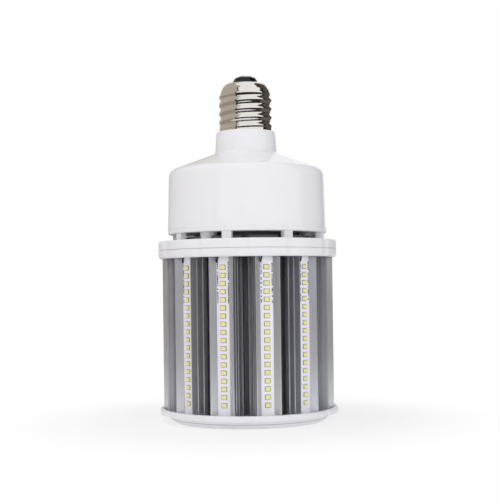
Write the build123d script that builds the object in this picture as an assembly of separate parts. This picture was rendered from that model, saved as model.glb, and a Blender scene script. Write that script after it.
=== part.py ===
"""LED corn lamp with a mogul screw base, standing base up on its end cover.

Millimetres, +Z up. The origin is the centre of the end cover's flat outer face.
Every physical piece has its own function and is written as its own STEP file.
A piece that repeats round the lamp is drawn once, on the +X axis, and turned.
"""
import os
from math import atan2, cos, degrees, pi, radians, sin, tan

from build123d import *

# Light modules round the lamp
MODULES = 12
MODULE_STEP = 360 / MODULES
FIRST_MODULE_ANGLE = -90.0
LEDS_PER_BOARD = 18

# Heights of the stacked pieces
COVER_HEIGHT = 3.3
BOTTOM_RING_HEIGHT = 6.7
BOTTOM_RING_PLATE = 3.7
BOTTOM_RIM_HEIGHT = 3.9
MODULE_LENGTH = 114.4
LOWER_RING_SKIRT = 2.4
LOWER_RING_PLATE = 3.5
UPPER_RING_HEIGHT = 6.8
UPPER_RING_PLATE = 2.6
VENT_GAP = 5.2
BASE_PLATE = 3.0
HOUSING_HEIGHT = 72.0
SHELL_HEIGHT = 36.5
INSULATOR_HEIGHT = 4.3
CONTACT_RISE = 0.9

BOTTOM_RING_Z = COVER_HEIGHT
MODULE_Z = BOTTOM_RING_Z + BOTTOM_RING_PLATE
MODULE_TOP = MODULE_Z + MODULE_LENGTH
LOWER_RING_Z = MODULE_TOP - LOWER_RING_SKIRT
UPPER_RING_Z = MODULE_TOP + LOWER_RING_PLATE
VENT_Z = UPPER_RING_Z + UPPER_RING_HEIGHT
BASE_Z = VENT_Z + VENT_GAP
HOUSING_Z = BASE_Z + BASE_PLATE
SHELL_Z = HOUSING_Z + HOUSING_HEIGHT
INSULATOR_Z = SHELL_Z + SHELL_HEIGHT
TOP_Z = INSULATOR_Z + INSULATOR_HEIGHT + CONTACT_RISE

# Rings: a round rim with a shallow valley between each two modules
RING_R = 65.5
RING_WALL = 2.6
RING_EDGE = 1.6
LOWER_RING_EDGE = 2.2
SEAM_DEPTH = 0.5
SEAM_HEIGHT = 0.45
VALLEY_DEPTH = 0.9
VALLEY_CUT_R = 14.0
LOW = 0
HIGH = -1
SLOPE_R = RING_R - 3.1

# End cover
COVER_R = RING_R - 6.5
COVER_FOOT_R = COVER_R - 4.0
COVER_WALL = 1.2
COVER_HOLLOW_R = COVER_R - 3.8
COVER_EDGE = 1.6
COVER_SCREWS = 4
COVER_POST_R = 4.8

# Core tube
CORE_DEPTH = 37.5
CORE_R = RING_R - CORE_DEPTH
CORE_WALL = 1.5
POST_CLEAR = 0.2
COVER_SCREW_OUT = CORE_R - CORE_WALL - COVER_POST_R - POST_CLEAR

# Module extrusion, half section: out from the axis, and across
FLOOR_OUT = RING_R - 8.9
FLOOR_WALL = 1.6
BOARD_WIDTH = 10.2
BOARD_THICK = 1.5
SLOT_CLEAR = 0.05
LIP_GRIP = 0.5
LIP_THICK = 0.4
WING_RISE = 3.5
TIP_FLAT = 0.55
BEAD_DEPTH = 1.7
BEAD_PROUD = 0.3
WALL_HALF = 8.45
BAND_DEPTHS = (2.8, 4.0, 3.2)
GROOVE_DEPTH = 0.7
GROOVE_WIDTH = 1.4
BACK_CORNER = 0.8
HOLLOW_HALF = 6.4
BACK_WALL = 1.6
WEB_THICK = 2.4
FOOT_HALF = 3.4
FOOT_THICK = 1.8
FIN_THICK = 1.2
FIN_GAP = 2.8
FINS = 3
FIN_SIDE_CLEAR = 1.7
PORT_OUT = FLOOR_OUT - 5.0
PORT_R = 1.6
PORT_BOSS_R = 3.0

# Air slots in the rings, over the gaps between the modules
AIR_SLOT_IN = CORE_R + 4.0
AIR_SLOT_OUT = FLOOR_OUT - 4.6
AIR_SLOT_WIDTH = 5.0

# Light-emitting packages
LED_WIDTH = 3.5
LED_HEIGHT = 2.8
LED_THICK = 0.7
LED_END = 9.6
LED_PITCH = (MODULE_LENGTH - 2 * LED_END) / (LEDS_PER_BOARD - 1)

# Vent posts and bosses under the housing
POSTS = 8
POST_ANGLE = -72.4
POST_OUT = 54.5
POST_WIDTH = 6.8
POST_DEPTH = 4.6
BOSSES = 3
BOSS_ANGLE = -139.9
BOSS_OUT = 45.0
BOSS_R = 6.0
BASE_EDGE = 0.8
COLLAR_R = 38.4
COLLAR_WALL = 1.6
FLANGE_R = 50.5
FLANGE_THICK = 2.4
FLANGE_CLEAR = 0.2

# Driver housing outline: radius and height over its lower edge
HOUSING_R = 58.3
HOUSING_WALL = 2.4
SHOULDER_R = 57.1
SHOULDER_H = 43.3
NECK_R = 22.9
NECK_H = 56.1
NECK_TOP_R = 21.7
SHOULDER_ROUND = 7.0
NECK_ROUND = 2.4
NECK_TOP_EDGE = 0.8
PLUG_WALL = 2.0
PLUG_HEIGHT = 4.0
PLUG_CLEAR = 0.1
NECK_LEDGE = 1.0

# Mogul screw shell
THREAD_PITCH = 6.35
THREAD_R = 19.75
THREAD_ROOT_R = 18.0
THREAD_ANGLE = 226.8
THREAD_FOOT_SHARE = 0.94
THREAD_STEPS = 4
THREAD_RUN_OUT = 0.3
THREAD_END_RISE = 0.05
SKIRT_R = 19.3
SKIRT_HEIGHT = 4.2
SHELL_WALL = 0.6
CREST_END_H = 26.4
DOME_H = 28.8
DOME_BEND_R = 16.9
DOME_BEND_H = 32.4
DOME_MID_R = 14.6
DOME_MID_H = 35.1
DOME_TOP_R = 10.0
INSULATOR_BEND_R = 7.7
INSULATOR_BEND_H = 3.0
INSULATOR_TOP_R = 6.1
CONTACT_R = 4.2
CONTACT_EDGE = 0.7
CONTACT_PIN_R = 2.2
CONTACT_PIN_LENGTH = 7.0

# Driver board and what stands on it
DRIVER_R = 49.0
DRIVER_THICK = 1.6
STANDOFF_HEIGHT = 6.0
STANDOFF_R = 3.2
STANDOFF_OUT = 43.0
CORE_SIZE = (32.0, 30.0, 26.0)
CORE_LEG = 7.0
CORE_AT = (-19.0, 4.0)
WINDING_R = 10.5
CAPACITOR_R = 8.0
CAPACITOR_HEIGHT = 30.0
CAPACITOR_EDGE = 0.8
CAPACITOR_AT = ((20.0, 14.0), (20.0, -4.0))
FILM_SIZE = (8.0, 18.0, 14.0)
FILM_AT = ((36.0, 8.0), (34.5, -16.0))
TOROID_R = 10.0
TOROID_TUBE = 3.6
TOROID_AT = ((-2.0, -30.0), (20.0, -31.0))
PLATE_SIZE = (3.0, 34.0, 24.0)
PLATE_AT = (-43.5, 4.0)
CHIP_SIZE = (4.4, 10.0, 15.0)
CHIP_STEP = 15.0

# Screws and leads
SCREW_HEAD_R = 2.9
SCREW_HEAD_HEIGHT = 1.9
SCREW_SHANK_R = 1.5
SCREW_LENGTH = 9.0
SCREW_HOLE_R = 1.7
SEAT_CLEAR = 0.3
SEAT_DEPTH = 0.9
DRIVE_R = 1.1
DRIVE_DEPTH = 1.0
LEAD_R = 0.7
BOARD_LEAD_ACROSS = -3.8
BOARD_LEAD_LENGTH = 5.0
TRUNK_R = 1.1
LEAD_HOLE_R = 3.0


def turned(shape, angle):
    """Turn a shape about the lamp axis."""
    return Rot(0, 0, angle) * shape


def at(shape, x, y, z):
    """Move a shape to a place."""
    return Pos(x, y, z) * shape


def at_polar(shape, out, angle, z):
    """Move a shape to a radius, turn it round the axis and lift it."""
    return Rot(0, 0, angle) * (Pos(out, 0, z) * shape)


def upright(radius, height):
    """Make a cylinder that stands on its base."""
    return Cylinder(radius, height, align=(Align.CENTER, Align.CENTER, Align.MIN))


def block(size):
    """Make a box that stands on its base."""
    return Box(*size, align=(Align.CENTER, Align.CENTER, Align.MIN))


def revolved(points):
    """Turn a closed outline of (radius, height) points round the lamp axis."""
    return revolve(Plane.XZ * make_face(Polyline(points, close=True)), Axis.Z)


def ring_of(shape, count, out, first, z):
    """Repeat a shape on a circle round the axis, as separate solids."""
    return [at_polar(shape, out, first + i * 360 / count, z) for i in range(count)]


def less(body, cutters):
    """Take a list of shapes away from a body."""
    for cutter in cutters:
        body = body - cutter
    return body


def plus(body, additions):
    """Join a list of shapes to a body."""
    for addition in additions:
        body = body + addition
    return body


def module_angle(index):
    """Angle of a module: the first one faces -Y."""
    return FIRST_MODULE_ANGLE + index * MODULE_STEP


def gap_angle(index):
    """Angle of the middle of the gap after a module."""
    return module_angle(index) + MODULE_STEP / 2


def at_modules(shape):
    """Repeat a shape drawn on +X at every module, as separate solids."""
    return [turned(shape, module_angle(i)) for i in range(MODULES)]


# Aluminium modules

def tip_out():
    """Distance of a wing's tip from the lamp axis."""
    return FLOOR_OUT + BOARD_THICK + SLOT_CLEAR + LIP_THICK + WING_RISE


def side_points():
    """Trace one outer side, from the wing's tip in to the back corner."""
    bead = WALL_HALF + BEAD_PROUD
    out = tip_out()
    points = [(out, bead - TIP_FLAT), (out, bead), (out - BEAD_DEPTH, bead)]
    out -= BEAD_DEPTH + BEAD_PROUD
    points.append((out, WALL_HALF))
    for number, depth in enumerate(BAND_DEPTHS):
        out -= depth
        points.append((out, WALL_HALF))
        if number < len(BAND_DEPTHS) - 1:
            shelf = GROOVE_WIDTH / 3
            points.append((out - shelf, WALL_HALF - GROOVE_DEPTH))
            points.append((out - GROOVE_WIDTH + shelf, WALL_HALF - GROOVE_DEPTH))
            out -= GROOVE_WIDTH
            points.append((out, WALL_HALF))
    points.append((out - BACK_CORNER, WALL_HALF - BACK_CORNER))
    return points


def seat_points():
    """Trace one half of the board's seat and its wing, from the middle out."""
    slot = BOARD_WIDTH / 2 + SLOT_CLEAR
    lip = slot - SLOT_CLEAR - LIP_GRIP
    under = FLOOR_OUT + BOARD_THICK + SLOT_CLEAR
    return [(FLOOR_OUT, slot), (under, slot), (under, lip), (under + LIP_THICK, lip)]


def fin_points(back):
    """Trace one side of the web with its fins, from the back wall to the foot."""
    points = [(back, WEB_THICK / 2)]
    out = back
    for _ in range(FINS):
        out -= FIN_GAP
        reach = out * sin(radians(MODULE_STEP / 2)) - FIN_SIDE_CLEAR
        points += [(out, WEB_THICK / 2), (out, reach)]
        out -= FIN_THICK
        points += [(out, reach), (out, WEB_THICK / 2)]
    foot = CORE_R + FOOT_THICK
    points += [(foot, WEB_THICK / 2), (foot, FOOT_HALF), (CORE_R, FOOT_HALF)]
    return points


def heat_sink():
    """One extruded module: board seat, wings, grooved walls, web, fins and foot."""
    sides = side_points()
    half = seat_points() + sides + fin_points(sides[-1][0])
    mirrored = [(out, -across) for out, across in reversed(half)]
    outline = make_face(Polyline(half + mirrored, close=True))
    back = sides[-1][0] + BACK_WALL
    front = FLOOR_OUT - FLOOR_WALL
    middle = (back + front) / 2
    hollow = Pos(middle, 0) * Rectangle(front - back, 2 * HOLLOW_HALF)
    port = Pos(PORT_OUT, 0) * Circle(PORT_BOSS_R)
    bridge = Pos((PORT_OUT + front) / 2, 0) * Rectangle(front - PORT_OUT, WEB_THICK)
    section = outline - (hollow - port - bridge) - Pos(PORT_OUT, 0) * Circle(PORT_R)
    body = extrude(section, MODULE_LENGTH)
    body = at(body, 0, 0, MODULE_Z)
    return body - at(upright(CORE_R, MODULE_LENGTH), 0, 0, MODULE_Z)


def led_board():
    """The narrow circuit board that slides into a module's seat."""
    board = block((BOARD_THICK, BOARD_WIDTH, MODULE_LENGTH))
    return at(board, FLOOR_OUT + BOARD_THICK / 2, 0, MODULE_Z)


def led_row():
    """The row of light-emitting packages soldered to a board."""
    out = FLOOR_OUT + BOARD_THICK + LED_THICK / 2
    first = MODULE_Z + LED_END
    package = Box(LED_THICK, LED_WIDTH, LED_HEIGHT)
    places = range(LEDS_PER_BOARD)
    return Compound(children=[at(package, out, 0, first + i * LED_PITCH) for i in places])


def core_tube():
    """The tube in the middle that the modules' feet stand against."""
    tube = upright(CORE_R, MODULE_LENGTH) - upright(CORE_R - CORE_WALL, MODULE_LENGTH)
    return at(tube, 0, 0, MODULE_Z)


# Rings

def valleys(inset):
    """Upright cutters for the shallow valleys, widened where a rim is set in."""
    cutter = upright(VALLEY_CUT_R + inset, MODULE_LENGTH)
    out = RING_R - VALLEY_DEPTH + VALLEY_CUT_R
    return ring_of(cutter, MODULES, out, gap_angle(0), 0)


def ring_blank(height, rim, edge):
    """A solid ring blank with its valleys; rim LOW or HIGH is the rounded one."""
    blank = upright(RING_R, height)
    circle = blank.edges().filter_by(GeomType.CIRCLE).sort_by(Axis.Z)[rim]
    return less(fillet(circle, edge), valleys(0))


def seam_cutter():
    """What a ring loses at its rim so that a fine dark seam shows there."""
    core = less(upright(RING_R - SEAM_DEPTH, SEAM_HEIGHT), valleys(SEAM_DEPTH))
    return upright(RING_R, SEAM_HEIGHT) - core


def inner_blank(height):
    """The solid inside a ring's skirt."""
    return upright(RING_R - RING_WALL, height)


def air_slots(height):
    """Radial slots over the gaps between the modules."""
    length = AIR_SLOT_OUT - AIR_SLOT_IN
    slot = extrude(SlotOverall(length, AIR_SLOT_WIDTH), height)
    middle = (AIR_SLOT_IN + AIR_SLOT_OUT) / 2
    return ring_of(slot, MODULES, middle, gap_angle(0), 0)


def port_holes(height):
    """Clearance holes over the modules' screw ports."""
    return ring_of(upright(SCREW_HOLE_R, height), MODULES, PORT_OUT, module_angle(0), 0)


def lead_holes(height):
    """Holes that let the board leads through a ring."""
    out = FLOOR_OUT + BOARD_THICK + LEAD_R
    return at_modules(at(upright(LEAD_R, height), out, BOARD_LEAD_ACROSS, 0))


def bottom_ring():
    """The ring that closes the modules' lower ends and slopes in to the end cover."""
    rim_z = BOTTOM_RING_HEIGHT - BOTTOM_RIM_HEIGHT
    slope = revolved([(0, 0), (COVER_R, 0), (SLOPE_R, rim_z), (0, rim_z)])
    body = slope + at(ring_blank(BOTTOM_RIM_HEIGHT, HIGH, RING_EDGE), 0, 0, rim_z)
    body = body - at(inner_blank(BOTTOM_RING_HEIGHT), 0, 0, BOTTOM_RING_PLATE)
    cuts = air_slots(BOTTOM_RING_PLATE) + port_holes(BOTTOM_RING_PLATE)
    seat = upright(SCREW_HEAD_R + SEAT_CLEAR, SEAT_DEPTH)
    cuts += ring_of(seat, MODULES, PORT_OUT, module_angle(0), 0)
    cuts += cover_screw_places(upright(SCREW_SHANK_R, BOTTOM_RING_PLATE), 0)
    return at(less(body, cuts), 0, 0, BOTTOM_RING_Z)


def lower_ring():
    """The ring that closes the modules' upper ends, its skirt round their tips."""
    height = LOWER_RING_SKIRT + LOWER_RING_PLATE
    body = ring_blank(height, LOW, LOWER_RING_EDGE)
    body = body - inner_blank(LOWER_RING_SKIRT)
    cuts = air_slots(height) + port_holes(height) + lead_holes(height)
    cuts.append(upright(CORE_R - CORE_WALL, height))
    return at(less(body, cuts), 0, 0, LOWER_RING_Z)


def upper_ring():
    """The hollow ring over the lower one, with the housing's screw holes."""
    skirt = UPPER_RING_HEIGHT - UPPER_RING_PLATE
    body = ring_blank(UPPER_RING_HEIGHT, HIGH, RING_EDGE)
    body = body - inner_blank(skirt)
    holes = ring_of(upright(SCREW_HOLE_R, UPPER_RING_HEIGHT), BOSSES, BOSS_OUT, BOSS_ANGLE, 0)
    cuts = air_slots(UPPER_RING_HEIGHT) + holes + [seam_cutter()]
    cuts.append(upright(LEAD_HOLE_R, UPPER_RING_HEIGHT))
    return at(less(body, cuts), 0, 0, UPPER_RING_Z)


def cover_screw_places(shape, z):
    """Put a shape at each end-cover screw."""
    return ring_of(shape, COVER_SCREWS, COVER_SCREW_OUT, 0, z)


def bottom_cover():
    """The shallow round end cover that the lamp stands on."""
    points = [(0, 0), (COVER_FOOT_R, 0), (COVER_R, COVER_HEIGHT), (0, COVER_HEIGHT)]
    body = revolved(points)
    rim = body.edges().filter_by(GeomType.CIRCLE).sort_by(Axis.Z)[0]
    body = fillet(rim, COVER_EDGE)
    hollow = upright(COVER_HOLLOW_R, COVER_HEIGHT - COVER_WALL)
    body = body - at(hollow, 0, 0, COVER_WALL)
    posts = cover_screw_places(upright(COVER_POST_R, COVER_HEIGHT), 0)
    heads = cover_screw_places(upright(SCREW_HEAD_R + SEAT_CLEAR, SCREW_HEAD_HEIGHT), 0)
    holes = cover_screw_places(upright(SCREW_HOLE_R, COVER_HEIGHT), 0)
    return less(plus(body, posts), heads + holes)


def vent_collar():
    """The dark collar in the vent gap, with a flange notched round the bosses."""
    flange = less(upright(FLANGE_R, FLANGE_THICK), air_slots(FLANGE_THICK))
    collar = upright(COLLAR_R, VENT_GAP) + flange
    notch = upright(BOSS_R + FLANGE_CLEAR, VENT_GAP)
    cuts = ring_of(notch, BOSSES, BOSS_OUT, BOSS_ANGLE, 0)
    cuts.append(upright(COLLAR_R - COLLAR_WALL, VENT_GAP))
    return at(less(collar, cuts), 0, 0, VENT_Z)


# Driver housing

def housing_base():
    """The plate under the housing, with the vent posts and the screw bosses."""
    plate = at(upright(HOUSING_R, BASE_PLATE), 0, 0, BASE_Z)
    low = plate.edges().filter_by(GeomType.CIRCLE).sort_by(Axis.Z)[0]
    plate = fillet(low, BASE_EDGE)
    plug_r = SHOULDER_R - HOUSING_WALL - PLUG_CLEAR
    plug = upright(plug_r, PLUG_HEIGHT) - upright(plug_r - PLUG_WALL, PLUG_HEIGHT)
    post = block((POST_DEPTH, POST_WIDTH, VENT_GAP))
    posts = ring_of(post, POSTS, POST_OUT, POST_ANGLE, VENT_Z)
    bosses = ring_of(upright(BOSS_R, VENT_GAP), BOSSES, BOSS_OUT, BOSS_ANGLE, VENT_Z)
    standoff = upright(STANDOFF_R, STANDOFF_HEIGHT)
    standoffs = ring_of(standoff, BOSSES, STANDOFF_OUT, 0, HOUSING_Z)
    body = plus(plate, [at(plug, 0, 0, HOUSING_Z)] + posts + bosses + standoffs)
    depth = VENT_GAP + BASE_PLATE
    screws = ring_of(upright(SCREW_SHANK_R, depth), BOSSES, BOSS_OUT, BOSS_ANGLE, VENT_Z)
    return less(body, screws + [at(upright(LEAD_HOLE_R, BASE_PLATE), 0, 0, BASE_Z)])


def housing_section(inset, ceiling):
    """The housing's half section, set in by a wall thickness, with round corners."""
    slope = degrees(atan2(NECK_H - SHOULDER_H, SHOULDER_R - NECK_R))
    sink = inset * tan(radians((90 - slope) / 2))
    points = [
        (0, 0),
        (HOUSING_R - inset, 0),
        (SHOULDER_R - inset, SHOULDER_H - sink),
        (NECK_R - inset, NECK_H - sink),
        (NECK_TOP_R - inset, ceiling),
        (0, ceiling),
    ]
    face = make_face(Polyline(points, close=True))
    for corner, radius in ((points[2], SHOULDER_ROUND - inset), (points[3], NECK_ROUND + inset)):
        face = fillet(nearest_vertex(face, corner), radius)
    return face


def nearest_vertex(face, point):
    """The corner of a flat face that lies nearest to a point."""
    x, y = point
    return face.vertices().sort_by(lambda v: (v.X - x) ** 2 + (v.Y - y) ** 2)[0]


def housing_solid(inset, ceiling):
    """The housing's section turned round the lamp axis."""
    return revolve(Plane.XZ * housing_section(inset, ceiling), Axis.Z)


def driver_housing():
    """The moulded housing: drum, rounded shoulder, cone and neck, open below."""
    outer = housing_solid(0, HOUSING_HEIGHT)
    rim = outer.edges().filter_by(GeomType.CIRCLE).sort_by(Axis.Z)[-1]
    outer = fillet(rim, NECK_TOP_EDGE)
    inner = housing_solid(HOUSING_WALL, HOUSING_HEIGHT - HOUSING_WALL)
    bore = upright(THREAD_ROOT_R - SHELL_WALL - NECK_LEDGE, HOUSING_HEIGHT)
    return at(outer - inner - bore, 0, 0, HOUSING_Z)


# Screw base

def dome_points():
    """Trace the dome from the end of the thread up to the insulator."""
    return [
        (THREAD_ROOT_R, DOME_H),
        (DOME_BEND_R, DOME_BEND_H),
        (DOME_MID_R, DOME_MID_H),
        (DOME_TOP_R, SHELL_HEIGHT),
        (0, SHELL_HEIGHT),
    ]


def shell_envelope():
    """Everything the thread may fill: its end sinks into the root under the dome."""
    wide = THREAD_R + THREAD_RUN_OUT
    end = THREAD_ROOT_R + THREAD_END_RISE
    points = [(0, 0), (wide, 0), (wide, CREST_END_H), (end, DOME_H), (0, DOME_H)]
    return at(revolved(points), 0, 0, SHELL_Z)


def ridge_section(inside):
    """The ridge's section: one cosine wave from its lower foot over the crest."""
    half = THREAD_PITCH / 2 * THREAD_FOOT_SHARE
    points = []
    for step in range(-THREAD_STEPS, THREAD_STEPS + 1):
        share = step / THREAD_STEPS
        rise = (1 + cos(pi * share)) / 2
        points.append((inside + (THREAD_R - inside) * rise, half * share))
    return Plane.XZ * make_face(Polyline(points, close=True))


def thread_ridge():
    """One rolled ridge wound up the shell: the form that the lamp screws in by."""
    start = SKIRT_HEIGHT / 2
    section = ridge_section(THREAD_ROOT_R - SHELL_WALL / 2)
    ridge = sweep(section, path=Helix(THREAD_PITCH, DOME_MID_H - start, THREAD_R), is_frenet=True)
    return at(turned(ridge, THREAD_ANGLE), 0, 0, SHELL_Z + start)


def screw_shell():
    """The threaded metal shell: skirt, rolled thread and closed dome."""
    step = SKIRT_R - THREAD_ROOT_R
    points = [(0, 0), (SKIRT_R, 0), (SKIRT_R, SKIRT_HEIGHT), (THREAD_ROOT_R, SKIRT_HEIGHT + step)]
    body = at(revolved(points + dome_points()), 0, 0, SHELL_Z)
    body = body + (thread_ridge() & shell_envelope())
    room_r = THREAD_ROOT_R - SHELL_WALL
    room = [
        (0, 0),
        (room_r, 0),
        (room_r, DOME_H),
        (DOME_TOP_R - SHELL_WALL, SHELL_HEIGHT - 2 * SHELL_WALL),
        (DOME_TOP_R - SHELL_WALL, SHELL_HEIGHT),
        (0, SHELL_HEIGHT),
    ]
    return body - at(revolved(room), 0, 0, SHELL_Z)


def base_insulator():
    """The black cone that keeps the centre contact apart from the shell."""
    collar = DOME_TOP_R - SHELL_WALL
    drop = 2 * SHELL_WALL
    points = [
        (0, -drop),
        (collar, -drop),
        (collar, 0),
        (DOME_TOP_R, 0),
        (INSULATOR_BEND_R, INSULATOR_BEND_H),
        (INSULATOR_TOP_R, INSULATOR_HEIGHT),
        (0, INSULATOR_HEIGHT),
    ]
    body = at(revolved(points), 0, 0, INSULATOR_Z)
    pin = upright(CONTACT_PIN_R, INSULATOR_HEIGHT + drop)
    return body - at(pin, 0, 0, INSULATOR_Z - drop)


def centre_contact():
    """The rounded contact button on its pin."""
    button = upright(CONTACT_R, CONTACT_RISE)
    rim = button.edges().filter_by(GeomType.CIRCLE).sort_by(Axis.Z)[-1]
    button = fillet(rim, CONTACT_EDGE)
    pin = upright(CONTACT_PIN_R, CONTACT_PIN_LENGTH)
    return at(button + at(pin, 0, 0, -CONTACT_PIN_LENGTH), 0, 0, INSULATOR_Z + INSULATOR_HEIGHT)


# Driver

def driver_board_z():
    """Height of the driver board's upper face."""
    return HOUSING_Z + STANDOFF_HEIGHT + DRIVER_THICK


def driver_board():
    """The round circuit board inside the housing."""
    board = upright(DRIVER_R, DRIVER_THICK)
    return at(board, 0, 0, driver_board_z() - DRIVER_THICK)


def transformer_core():
    """The ferrite frame of the transformer: two yokes joined by two legs."""
    width, depth, height = CORE_SIZE
    window = Box(width - 2 * CORE_LEG, depth, height - 2 * CORE_LEG)
    frame = block(CORE_SIZE) - at(window, 0, 0, height / 2)
    return at(frame, *CORE_AT, driver_board_z())


def transformer_winding():
    """The wound coil in the transformer's window, on its bobbin."""
    width, depth, height = CORE_SIZE
    coil = upright(min(WINDING_R, width / 2 - CORE_LEG), height - 2 * CORE_LEG)
    return at(coil, *CORE_AT, driver_board_z() + CORE_LEG)


def capacitors():
    """The electrolytic capacitors."""
    body = upright(CAPACITOR_R, CAPACITOR_HEIGHT)
    rim = body.edges().filter_by(GeomType.CIRCLE).sort_by(Axis.Z)[-1]
    body = chamfer(rim, CAPACITOR_EDGE)
    return Compound(children=[at(body, x, y, driver_board_z()) for x, y in CAPACITOR_AT])


def film_capacitors():
    """The square film capacitors beside the mains input."""
    places = FILM_AT
    return Compound(children=[at(block(FILM_SIZE), x, y, driver_board_z()) for x, y in places])


def choke_coils():
    """The ring-shaped chokes, flat on the board."""
    coil = Torus(TOROID_R - TOROID_TUBE, TOROID_TUBE)
    lift = driver_board_z() + TOROID_TUBE
    return Compound(children=[at(coil, x, y, lift) for x, y in TOROID_AT])


def driver_heat_plate():
    """The upright plate that cools the power transistors."""
    return at(block(PLATE_SIZE), *PLATE_AT, driver_board_z())


def power_transistors():
    """The transistors clamped flat against the driver's heat plate."""
    out = PLATE_AT[0] + (PLATE_SIZE[0] + CHIP_SIZE[0]) / 2
    lanes = (-CHIP_STEP / 2, CHIP_STEP / 2)
    chips = [at(block(CHIP_SIZE), out, PLATE_AT[1] + lane, driver_board_z()) for lane in lanes]
    return Compound(children=chips)


# Screws and leads

def screw():
    """A pan-head screw that hangs from its head, head face on z = 0."""
    head = upright(SCREW_HEAD_R, SCREW_HEAD_HEIGHT)
    shank = at(upright(SCREW_SHANK_R, SCREW_LENGTH), 0, 0, -SCREW_LENGTH)
    drive = extrude(RegularPolygon(DRIVE_R, 6), DRIVE_DEPTH)
    return head + shank - at(drive, 0, 0, SCREW_HEAD_HEIGHT - DRIVE_DEPTH)


def screw_up():
    """The same screw with its head below, driven upwards."""
    return Rot(180, 0, 0) * screw()


def module_screws():
    """The screws through both end rings into the modules' ports."""
    first = module_angle(0)
    above = ring_of(screw(), MODULES, PORT_OUT, first, UPPER_RING_Z)
    below = ring_of(screw_up(), MODULES, PORT_OUT, first, BOTTOM_RING_Z + SEAT_DEPTH)
    return Compound(children=above + below)


def case_screws():
    """The screws that hold the housing to the upper ring, and the end cover."""
    height = VENT_Z - UPPER_RING_PLATE
    above = ring_of(screw_up(), BOSSES, BOSS_OUT, BOSS_ANGLE, height)
    return Compound(children=above + cover_screw_places(screw_up(), SCREW_HEAD_HEIGHT))


def board_leads():
    """The black lead from each board's upper end up through the lower ring."""
    length = BOARD_LEAD_LENGTH + UPPER_RING_Z - MODULE_TOP
    out = FLOOR_OUT + BOARD_THICK + LEAD_R
    lead = at(upright(LEAD_R, length), out, BOARD_LEAD_ACROSS, UPPER_RING_Z - length)
    return Compound(children=at_modules(lead))


def driver_leads():
    """The leads from the driver: a pair down to the rings, one up to the contact."""
    low = driver_board_z() - DRIVER_THICK
    down = upright(TRUNK_R, low - UPPER_RING_Z)
    pair = [at(down, side, 0, UPPER_RING_Z) for side in (-TRUNK_R, TRUNK_R)]
    high = INSULATOR_Z + INSULATOR_HEIGHT - CONTACT_PIN_LENGTH
    up = at(upright(TRUNK_R, high - driver_board_z()), 0, 0, driver_board_z())
    return Compound(children=pair + [up])


def named_parts():
    """Every node of the part, by name."""
    parts = {
        "bottom_cover": bottom_cover(),
        "bottom_ring": bottom_ring(),
        "core_tube": core_tube(),
        "lower_ring": lower_ring(),
        "upper_ring": upper_ring(),
        "vent_collar": vent_collar(),
        "housing_base": housing_base(),
        "driver_housing": driver_housing(),
        "screw_shell": screw_shell(),
        "base_insulator": base_insulator(),
        "centre_contact": centre_contact(),
        "driver_board": driver_board(),
        "transformer_core": transformer_core(),
        "transformer_winding": transformer_winding(),
        "capacitors": capacitors(),
        "film_capacitors": film_capacitors(),
        "choke_coils": choke_coils(),
        "driver_heat_plate": driver_heat_plate(),
        "power_transistors": power_transistors(),
        "module_screws": module_screws(),
        "case_screws": case_screws(),
        "board_leads": board_leads(),
        "driver_leads": driver_leads(),
    }
    sink, board, row = heat_sink(), led_board(), led_row()
    for index in range(MODULES):
        angle = module_angle(index)
        number = f"{index + 1:02d}"
        parts["heat_sink_" + number] = turned(sink, angle)
        parts["led_board_" + number] = turned(board, angle)
        parts["led_row_" + number] = turned(row, angle)
    return parts


os.makedirs("parts", exist_ok=True)
for name, shape in named_parts().items():
    export_step(shape, f"parts/{name}.step")
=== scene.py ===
"""Looks of the LED corn lamp: finishes, detailed pieces, studio and camera.

Everything is in metres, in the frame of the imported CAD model. Sizes given in
millimetres are turned into metres by MM. Main places are read from the CAD nodes'
boxes. Each sub-assembly is a class that holds its sizes and builds its pieces; each
finish is a small frozen dataclass.
"""
import logging
import math
import random
from dataclasses import dataclass, field
from enum import Enum

import bpy
from mathutils import Matrix, Vector


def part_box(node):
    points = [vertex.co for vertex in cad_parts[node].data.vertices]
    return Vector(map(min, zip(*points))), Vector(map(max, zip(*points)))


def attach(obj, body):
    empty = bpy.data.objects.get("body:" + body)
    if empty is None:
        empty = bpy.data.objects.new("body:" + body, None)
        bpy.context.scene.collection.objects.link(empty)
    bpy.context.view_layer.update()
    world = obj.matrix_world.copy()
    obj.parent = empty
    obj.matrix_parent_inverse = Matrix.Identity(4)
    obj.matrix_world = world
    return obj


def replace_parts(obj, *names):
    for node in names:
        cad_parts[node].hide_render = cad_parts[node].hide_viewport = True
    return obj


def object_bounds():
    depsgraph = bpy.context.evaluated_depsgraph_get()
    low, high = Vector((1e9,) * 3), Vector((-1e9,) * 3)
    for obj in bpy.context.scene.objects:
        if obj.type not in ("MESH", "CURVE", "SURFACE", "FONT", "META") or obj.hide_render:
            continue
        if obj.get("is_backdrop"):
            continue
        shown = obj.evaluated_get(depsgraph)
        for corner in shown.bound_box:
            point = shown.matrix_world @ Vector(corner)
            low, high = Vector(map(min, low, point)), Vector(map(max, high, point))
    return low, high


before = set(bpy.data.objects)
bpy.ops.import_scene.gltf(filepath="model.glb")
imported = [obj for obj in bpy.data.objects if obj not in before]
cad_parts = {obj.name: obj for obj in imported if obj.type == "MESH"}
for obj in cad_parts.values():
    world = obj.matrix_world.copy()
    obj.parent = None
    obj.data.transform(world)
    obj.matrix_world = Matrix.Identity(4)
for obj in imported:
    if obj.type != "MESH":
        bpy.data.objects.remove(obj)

LOG = logging.getLogger("corn_lamp")
MM = 0.001
MODULES = sum(name.startswith("heat_sink_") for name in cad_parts)
BODY = "root"
LOW, HIGH = 0, 1
X, Y, Z = 0, 1, 2

# A noise texture keeps mostly between these values
NOISE_LOW, NOISE_HIGH = 0.3, 0.7
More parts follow.
